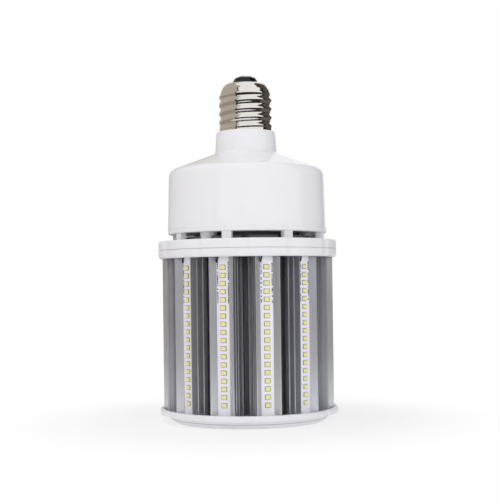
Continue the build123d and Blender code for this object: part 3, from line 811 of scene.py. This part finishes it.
@dataclass
class LightModule:
    """One module: metal extrusion, board with print and lead, row of packages.

    Sizes are in millimetres. Across counts from the module's middle, and the heights of
    the print and the lead count from the lower ring's foot.

    Attributes:
        index: which module it is, from 0.
        face, ring_foot, row_low, row_high: places read from the CAD.
        leds, led_size: how many packages, and their width, height and thickness.
        rim, sink, cut: rim and depth of their windows, and cut of their corners.
        pad: width, height and thickness of the dark solder sheet under a package, partly painted
            shade.
        print_rows, print_gaps: places for a mark, and the share of them left bare.
        print_low, print_high, print_across: where the marks run.
        print_length, print_width: least and most; the length is a share of a row.
        lead_path, lead_r: (across, height, out from the face) points, and radius.
    """

    index: int
    face: float = -end_of("led_board_01", LOW, Y)
    ring_foot: float = end_of("lower_ring", LOW, Z)
    row_low: float = end_of("led_row_01", LOW, Z)
    row_high: float = end_of("led_row_01", HIGH, Z)
    leds: int = 18
    led_size: tuple = (3.5, 2.8, 0.7)
    rim: float = 0.2
    sink: float = 0.12
    cut: float = 0.06
    pad: tuple = (4.3, 3.5, 0.03)
    print_seed: int = 40
    print_rows: int = 22
    print_gaps: float = 0.18
    print_low: float = -32.0
    print_high: float = -3.0
    print_across: tuple = (-3.75, 4.0)
    print_length: tuple = (0.4, 0.95)
    print_width: tuple = (0.65, 1.0)
    print_thick: float = 0.02
    lead_path: tuple = ((-4.1, -3.6, 0.25), (-4.0, -2.8, 0.6), (-3.6, -1.0, 0.75),
                        (-3.3, 0.6, 0.7))
    lead_r: float = 0.55
    lead_sides: int = 12
    smooth: float = 20.0
    board_edge: float = 0.06

    def __post_init__(self) -> None:
        """Work out the module's directions from its place round the lamp."""
        turn = math.radians(-90 + self.index * 360 / MODULES)
        self.out = Vector((math.cos(turn), math.sin(turn), 0))
        self.across = Vector((-math.sin(turn), math.cos(turn), 0))
        self.up = Vector((0, 0, 1))
        self.number = f"{self.index + 1:02d}"

    def at(self, across: float, height: float, out: float) -> Vector:
        """Place a point of the module, in millimetres, in the lamp's frame, in metres."""
        return (self.across * across + self.up * height + self.out * out) * MM

    def packages(self) -> None:
        """Build the row of packages with their sunk phosphor windows, and dark solder sheets under
        them that are partly painted shade round their feet.
        """
        sheet = Sheet()
        sizes = (*self.led_size, self.rim, self.sink, self.cut)
        led_tall = self.led_size[1]
        pitch = (self.row_high - self.row_low - led_tall) / (self.leds - 1)
        wide, tall, thick = (s * MM for s in self.pad)
        for i in range(self.leds):
            foot = self.at(0, self.row_low + led_tall / 2 + i * pitch, self.face)
            sheet.tray(foot, self.across, self.up, self.out, sizes, (0, 1))
            low = foot - self.across * wide / 2 - self.up * tall / 2
            sheet.block(low, self.across * wide, self.up * tall, self.out * thick, 2)
        finishes = [LED_FRAME, LED_PHOSPHOR, SOLDER_PADS_AND_SHADE]
        made = sheet.piece("led_packages_" + self.number, finishes, self.smooth)
        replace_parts(made, "led_row_" + self.number)

    def board_print(self) -> None:
        """Print short plain dashes along both edges of the board's upper part."""
        chance = random.Random(self.print_seed + self.index)
        sheet = Sheet()
        step = (self.print_high - self.print_low) / self.print_rows
        for across in self.print_across:
            for row in range(self.print_rows):
                if chance.random() < self.print_gaps:
                    continue
                height = self.ring_foot + self.print_low + row * step
                length = step * chance.uniform(*self.print_length)
                width = chance.uniform(*self.print_width)
                low = self.at(across - width / 2, height, self.face)
                sheet.block(low, self.across * width * MM, self.up * length * MM,
                            self.out * self.print_thick * MM)
        sheet.piece("board_print_" + self.number, [BOARD_PRINT])

    def lead(self, leads: Sheet) -> None:
        """Draw the short black lead that slants out of the board's upper end."""
        path = [self.at(across, self.ring_foot + height, self.face + out)
                for across, height, out in self.lead_path]
        leads.tube(path, self.lead_r * MM, self.lead_sides)

    def build(self, leads: Sheet) -> None:
        """Dress the metal and the board, and build what is on them.

        Args:
            leads: the sheet that all the leads are drawn in.
        """
        dress("heat_sink_" + self.number, MODULE_METAL, smooth=self.smooth)
        dress("led_board_" + self.number, BOARD_MASK, self.board_edge)
        self.packages()
        self.board_print()
        self.lead(leads)


# Rings, core and driver


@dataclass(frozen=True)
class PlainParts:
    """The CAD nodes that only need their finish: node, finish, softened edge in mm."""

    finishes: tuple = (
        ("bottom_cover", WHITE_FOOT, 0.0), ("bottom_ring", WHITE_FOOT, 0.0),
        ("lower_ring", WHITE_PAIR, 0.0), ("upper_ring", WHITE_PAIR, 0.0),
        # The vent collar's dark grey finish is painted shade in the vent gap.
        ("vent_collar", DARK_PLASTIC_AND_COLLAR_SHADE, 0.1), ("core_tube", CORE_METAL, 0.0),
        ("driver_board", DRIVER_MASK, 0.05), ("transformer_core", FERRITE, 0.4),
        ("transformer_winding", TAPE, 0.2), ("capacitors", SLEEVE, 0.0),
        ("film_capacitors", FILM_BOX, 0.4), ("choke_coils", COPPER, 0.0),
        ("driver_heat_plate", MODULE_METAL, 0.2), ("power_transistors", DARK_PLASTIC_AND_COLLAR_SHADE, 0.2),
        ("module_screws", ZINC, 0.1), ("case_screws", ZINC, 0.1),
        ("driver_leads", LEAD_SKIN, 0.0))

    def build(self) -> None:
        """Dress each node."""
        for node, finish, edge in self.finishes:
            dress(node, finish, edge)


# Studio


# Cards start this near to the lamp and stand this far from it. They lie this high over
# the floor, and a low rim or a full wall rises this high.
CARD_NEAR, CARD_FAR = 0.2, 1.7
CARD_LOW, CARD_RIM, CARD_TOP = 0.012, 0.14, 3.6


class Profile(Enum):
    """Section of a card, as (distance, height) points in metres."""

    LAID = ((CARD_NEAR, CARD_LOW), (CARD_FAR, CARD_LOW))
    UPRIGHT = ((CARD_FAR, CARD_LOW), (CARD_FAR, CARD_TOP))
    FULL = (*LAID, (CARD_FAR, CARD_TOP))
    RIMMED = (*LAID, (CARD_FAR, CARD_RIM))


@dataclass(frozen=True)
class Panel:
    """A rectangular soft light that faces the lamp.

    Attributes:
        name: the light's name.
        turn: angle to the right of the camera, in degrees.
        distance, height: its place, in metres.
        size: width and height in metres.
        power: in watts.
        colour: sRGB hex.
    """

    name: str
    turn: float
    distance: float
    height: float
    size: tuple[float, float]
    power: float
    colour: str = "FFFFFF"


@dataclass(frozen=True)
class Card:
    """A card that curves round the lamp and only shows as a reflection in metal and gloss.

    Attributes:
        name: the card's name.
        turns: where it starts and ends, in degrees right of the camera.
        profile: its section.
        colour: sRGB hex.
    """

    name: str
    turns: tuple[float, float]
    profile: Profile
    colour: str


def seen_ray(tree: bpy.types.NodeTree) -> bpy.types.NodeSocket:
    """Tell the rays that see the background from those that light the lamp.

    Args:
        tree: the node tree to draw in.

    Returns:
        A socket that is 1 for camera, glossy and transmission rays.
    """
    path = add_node(tree, "ShaderNodeLightPath")
    glossy = add_node(tree, "ShaderNodeMath", {"operation": "MAXIMUM"}, {
        0: path.outputs["Is Camera Ray"], 1: path.outputs["Is Glossy Ray"]})
    either = add_node(tree, "ShaderNodeMath", {"operation": "MAXIMUM"}, {
        0: glossy.outputs[0], 1: path.outputs["Is Transmission Ray"]})
    return either.outputs[0]


@dataclass
class Studio:
    """Camera, lights, floor and background, matched to the photograph.

    Angles are in degrees, but the roll in radians. Names in px are in pixels of the
    photograph's frame, and the other lengths are in metres.
    """

    azimuth: float = -12.8
    distance: float = 0.793
    eye_height: float = 0.1002
    focal_px: float = 1072.0
    picture_px: float = 500.0
    horizon_px: float = 283.8
    axis_px: float = 247.8
    roll: float = 0.0127
    clip: tuple = (0.05, 30.0)
    air_colour: str = "E4E4E8"
    air_strength: float = 0.6
    floor_half: float = 8.0
    floor_colour: str = "F4F4F5"
    floor_roughness: float = 0.9
    floor_specular: float = 0.1
    shadow_reach: tuple = (0.08, 0.2)
    floor_lift: float = 0.68
    table_glow: float = 0.32
    aim_height: float = 0.12
    card_steps: int = 40
    panels: tuple = (
        Panel("front_right_panel", 23, 1.5, 0.45, (1.4, 1.0), 8.4),
        Panel("left_panel", -75, 1.4, 0.3, (1.2, 1.2), 5.2, "F2EBE3"),
        Panel("top_panel", -60, 0.25, 1.5, (1.4, 1.4), 8.0))
    cards: tuple = (
        Card("warm_card", (-178, -46), Profile.UPRIGHT, "BBB3AA"),
        Card("warm_floor_card", (-178, -46), Profile.LAID, "A1988F"),
        Card("edge_card", (-46, -39), Profile.FULL, "37322F"),
        Card("low_card", (-39, 82), Profile.RIMMED, "2E2B2A"),
        Card("black_card", (82, 102), Profile.UPRIGHT, "242221"),
        Card("brown_card", (102, 150), Profile.UPRIGHT, "57504C"),
        Card("brown_floor_card", (82, 150), Profile.LAID, "69615D"))

    def around(self, turn: float, distance: float, height: float) -> Vector:
        """Place a point round the lamp, its turn counted to the right of the camera."""
        angle = math.radians(self.azimuth + turn)
        return Vector((math.sin(angle) * distance, -math.cos(angle) * distance, height))

    def camera(self) -> None:
        """Set the level camera with its shift and its slight roll."""
        data = bpy.data.cameras.new("camera")
        data.lens = self.focal_px / self.picture_px * data.sensor_width
        data.shift_x = (self.picture_px / 2 - self.axis_px) / self.picture_px
        data.shift_y = (self.horizon_px - self.picture_px / 2) / self.picture_px
        data.clip_start, data.clip_end = self.clip
        obj = bpy.data.objects.new("camera", data)
        place = self.around(0, self.distance, self.eye_height)
        aim = Vector((-place.x, -place.y, 0)).to_track_quat("-Z", "Y").to_matrix().to_4x4()
        obj.matrix_world = Matrix.Translation(place) @ aim @ Matrix.Rotation(-self.roll, 4, "Z")
        bpy.context.scene.collection.objects.link(obj)
        bpy.context.scene.camera = obj

    def world(self) -> None:
        """Make the background white where it is seen, and let it light the lamp softly."""
        world = bpy.data.worlds.new("studio")
        bpy.context.scene.world = world
        world.use_nodes = True
        tree = world.node_tree
        tree.nodes.clear()
        seen = add_node(tree, "ShaderNodeBackground", inputs={"Color": (1, 1, 1, 1), "Strength": 1.0})
        felt = add_node(tree, "ShaderNodeBackground", inputs={
            "Color": linear(self.air_colour), "Strength": self.air_strength})
        mix = add_node(tree, "ShaderNodeMixShader", inputs={
            "Fac": seen_ray(tree), 1: felt.outputs[0], 2: seen.outputs[0]})
        add_node(tree, "ShaderNodeOutputWorld", inputs={"Surface": mix.outputs[0]})

    def floor_paint(self) -> bpy.types.Material:
        """Mix the floor's paint: it keeps a soft shadow near the lamp and is white beyond.

        Returns:
            The material.
        """
        paint = bpy.data.materials.new("floor_paint")
        paint.use_nodes = True
        tree = paint.node_tree
        shader = tree.nodes["Principled BSDF"]
        shader.inputs["Base Color"].default_value = linear(self.floor_colour)
        shader.inputs["Roughness"].default_value = self.floor_roughness
        shader.inputs["Specular IOR Level"].default_value = self.floor_specular
        where = add_node(tree, "ShaderNodeTexCoord")
        reach = add_node(tree, "ShaderNodeVectorMath", {"operation": "LENGTH"},
                         {0: where.outputs["Object"]})
        far = add_node(tree, "ShaderNodeMapRange", {"interpolation_type": "SMOOTHSTEP"}, {
            "Value": reach.outputs["Value"], "From Min": self.shadow_reach[0],
            "From Max": self.shadow_reach[1], "To Min": self.floor_lift})
        both = add_node(tree, "ShaderNodeMix", inputs={
            0: seen_ray(tree), 2: self.table_glow, 3: far.outputs["Result"]})
        white = add_node(tree, "ShaderNodeEmission", inputs={"Strength": 1.0})
        mix = add_node(tree, "ShaderNodeMixShader", inputs={
            "Fac": both.outputs[0], 1: shader.outputs[0], 2: white.outputs[0]})
        tree.links.new(mix.outputs[0], tree.nodes["Material Output"].inputs["Surface"])
        return paint

    def floor(self) -> None:
        """Lay the pale floor, which glows a little like a light table."""
        mesh = bpy.data.meshes.new("floor")
        half = self.floor_half
        mesh.from_pydata([(-half, -half, 0), (half, -half, 0), (half, half, 0), (-half, half, 0)],
                         [], [(0, 1, 2, 3)])
        mesh.materials.append(self.floor_paint())
        made = bpy.data.objects.new("floor", mesh)
        bpy.context.scene.collection.objects.link(made)
        made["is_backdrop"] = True

    def hang_panel(self, panel: Panel) -> None:
        """Hang a soft light.

        Args:
            panel: the light and its place.
        """
        data = bpy.data.lights.new(panel.name, "AREA")
        data.shape = "RECTANGLE"
        data.size, data.size_y = panel.size
        data.energy = panel.power
        data.color = linear(panel.colour)[:3]
        obj = bpy.data.objects.new(panel.name, data)
        place = self.around(panel.turn, panel.distance, panel.height)
        aim = Vector((0, 0, self.aim_height)) - place
        obj.matrix_world = (Matrix.Translation(place)
                            @ aim.to_track_quat("-Z", "Y").to_matrix().to_4x4())
        obj.visible_camera = False
        obj.visible_glossy = False
        bpy.context.scene.collection.objects.link(obj)

    def hang_card(self, card: Card) -> None:
        """Hang a card, seen by glossy rays alone.

        Args:
            card: the card and its place.
        """
        first, last = card.turns
        section = card.profile.value
        corners = []
        for k in range(self.card_steps + 1):
            turn = first + (last - first) * k / self.card_steps
            corners += [self.around(turn, distance, height) for distance, height in section]
        row = len(section)
        faces = [(row * k + i, row * k + row + i, row * k + row + 1 + i, row * k + 1 + i)
                 for k in range(self.card_steps) for i in range(row - 1)]
        mesh = bpy.data.meshes.new(card.name)
        mesh.from_pydata(corners, [], faces)
        paint = bpy.data.materials.new(card.name + "_paint")
        paint.use_nodes = True
        tree = paint.node_tree
        tree.nodes.clear()
        glow = add_node(tree, "ShaderNodeEmission", inputs={
            "Color": linear(card.colour), "Strength": 1.0})
        add_node(tree, "ShaderNodeOutputMaterial", inputs={"Surface": glow.outputs[0]})
        mesh.materials.append(paint)
        made = bpy.data.objects.new(card.name, mesh)
        bpy.context.scene.collection.objects.link(made)
        made.visible_camera = False
        made.visible_diffuse = False
        made.visible_shadow = False
        made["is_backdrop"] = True

    def build(self) -> None:
        """Set up the camera, the background, the floor, the lights and the cards."""
        self.camera()
        self.world()
        self.floor()
        for panel in self.panels:
            self.hang_panel(panel)
        for card in self.cards:
            self.hang_card(card)
        bpy.context.scene.view_settings.view_transform = "Standard"


def note_size(key: str, store: dict) -> None:
    """Keep the corners of the shown object in the store, under the key."""
    low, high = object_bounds()
    store[key] = [list(low), list(high)]


def main() -> None:
    """Build the lamp's looks in order."""
    logging.basicConfig(level=logging.INFO)
    sizes: dict = {}
    note_size("cad", sizes)
    ScrewBase().build()
    Housing().build()
    leads = Sheet()
    for index in range(MODULES):
        LightModule(index).build(leads)
    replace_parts(leads.piece("board_leads_skin", [LEAD_SKIN]), "board_leads")
    PlainParts().build()
    Studio().build()
    note_size("visual", sizes)


if __name__ == "__main__":
    main()
